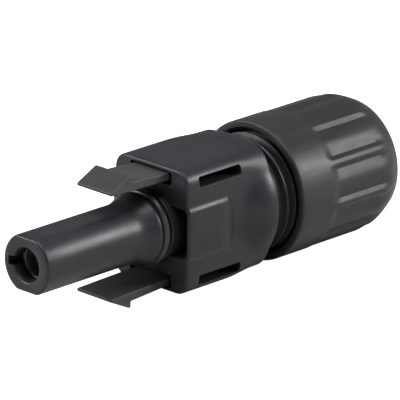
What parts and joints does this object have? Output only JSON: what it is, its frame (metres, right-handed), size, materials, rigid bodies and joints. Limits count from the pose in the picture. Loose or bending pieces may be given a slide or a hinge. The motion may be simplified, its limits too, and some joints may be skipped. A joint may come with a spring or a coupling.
{
  "type": "solar cable connector",
  "caption": "Latching in-line solar cable connector, socket side: slim nose, sprung latch arms, boxed shell and fluted gland nut.",
  "frame": {"origin": "on the mating axis, midway between the nose tip and the back of the gland nut", "axes": "+X along the mating axis towards the cable end, +Z through the upper latch arm, +Y to the connector's side that carries the key notch"},
  "size_m": [0.0604, 0.019, 0.019],
  "materials": {
    "black_plastic": "satin moulded, fine grain",
    "nut_plastic": "satin moulded, fine grain",
    "latch_plastic": "satin moulded, flow lines",
    "clamp_plastic": "matte moulded",
    "ring_rubber": "smooth lightly greased rubber",
    "seal_rubber": "matte rubber",
    "tinned_copper": "tin plated, turned",
    "spring_steel": "bright spring strip"
  },
  "bodies": {
    "housing": {"housing": "black_plastic", "mating_o_ring": "ring_rubber", "contact_sleeve": "tinned_copper", "contact_body": "tinned_copper", "contact_louvre_band": "spring_steel", "contact_retaining_clip": "spring_steel", "cable_seal": "seal_rubber"},
    "upper_latch": {"latch_arm_upper": "latch_plastic"},
    "lower_latch": {"latch_arm_lower": "latch_plastic"},
    "clamp": {"clamp_ring": "clamp_plastic"},
    "nut": {"gland_nut": "nut_plastic"},
    "finger_1": {"clamp_finger_1": "clamp_plastic"},
    "finger_2": {"clamp_finger_2": "clamp_plastic"},
    "finger_3": {"clamp_finger_3": "clamp_plastic"},
    "finger_4": {"clamp_finger_4": "clamp_plastic"},
    "finger_5": {"clamp_finger_5": "clamp_plastic"},
    "finger_6": {"clamp_finger_6": "clamp_plastic"},
    "finger_7": {"clamp_finger_7": "clamp_plastic"},
    "finger_8": {"clamp_finger_8": "clamp_plastic"}
  },
  "joints": [
    {"name": "upper_latch_flex", "type": "hinge", "parent": "housing", "child": "upper_latch", "pos_m": [0.00205, 0, 0.00705], "axis": [0, -1, 0], "range_deg": [0, 3.2], "stiffness_Nm_per_rad": 0.1},
    {"name": "lower_latch_flex", "type": "hinge", "parent": "housing", "child": "lower_latch", "pos_m": [0.00205, 0, -0.00705], "axis": [0, 1, 0], "range_deg": [0, 3.2], "stiffness_Nm_per_rad": 0.1},
    {"name": "clamp_advance", "type": "slide", "parent": "housing", "child": "clamp", "axis": [1, 0, 0], "range_m": [-0.0024, 0.0045]},
    {"name": "nut_turn", "type": "hinge", "parent": "clamp", "child": "nut", "pos_m": [0, 0, 0], "axis": [1, 0, 0], "range_deg": [-576, 1080]},
    {"name": "finger_1_flex", "type": "hinge", "parent": "clamp", "child": "finger_1", "pos_m": [0.02025, 0.00522, 0], "axis": [0, 0, 1], "range_deg": [-2.41, 4.51]},
    {"name": "finger_2_flex", "type": "hinge", "parent": "clamp", "child": "finger_2", "pos_m": [0.02025, 0.00369, 0.00369], "axis": [0, -0.7071, 0.7071], "range_deg": [-2.41, 4.51]},
    {"name": "finger_3_flex", "type": "hinge", "parent": "clamp", "child": "finger_3", "pos_m": [0.02025, 0, 0.00522], "axis": [0, -1, 0], "range_deg": [-2.41, 4.51]},
    {"name": "finger_4_flex", "type": "hinge", "parent": "clamp", "child": "finger_4", "pos_m": [0.02025, -0.00369, 0.00369], "axis": [0, -0.7071, -0.7071], "range_deg": [-2.41, 4.51]},
    {"name": "finger_5_flex", "type": "hinge", "parent": "clamp", "child": "finger_5", "pos_m": [0.02025, -0.00522, 0], "axis": [0, 0, -1], "range_deg": [-2.41, 4.51]},
    {"name": "finger_6_flex", "type": "hinge", "parent": "clamp", "child": "finger_6", "pos_m": [0.02025, -0.00369, -0.00369], "axis": [0, 0.7071, -0.7071], "range_deg": [-2.41, 4.51]},
    {"name": "finger_7_flex", "type": "hinge", "parent": "clamp", "child": "finger_7", "pos_m": [0.02025, 0, -0.00522], "axis": [0, 1, 0], "range_deg": [-2.41, 4.51]},
    {"name": "finger_8_flex", "type": "hinge", "parent": "clamp", "child": "finger_8", "pos_m": [0.02025, 0.00369, -0.00369], "axis": [0, 0.7071, 0.7071], "range_deg": [-2.41, 4.51]}
  ],
  "couplings": [
    {"joint": "clamp_advance", "follows": "nut_turn", "m_per_rad": 0.00023873},
    {"joint": "finger_1_flex", "follows": "nut_turn", "ratio": 0.0041667},
    {"joint": "finger_2_flex", "follows": "nut_turn", "ratio": 0.0041667},
    {"joint": "finger_3_flex", "follows": "nut_turn", "ratio": 0.0041667},
    {"joint": "finger_4_flex", "follows": "nut_turn", "ratio": 0.0041667},
    {"joint": "finger_5_flex", "follows": "nut_turn", "ratio": 0.0041667},
    {"joint": "finger_6_flex", "follows": "nut_turn", "ratio": 0.0041667},
    {"joint": "finger_7_flex", "follows": "nut_turn", "ratio": 0.0041667},
    {"joint": "finger_8_flex", "follows": "nut_turn", "ratio": 0.0041667}
  ]
}
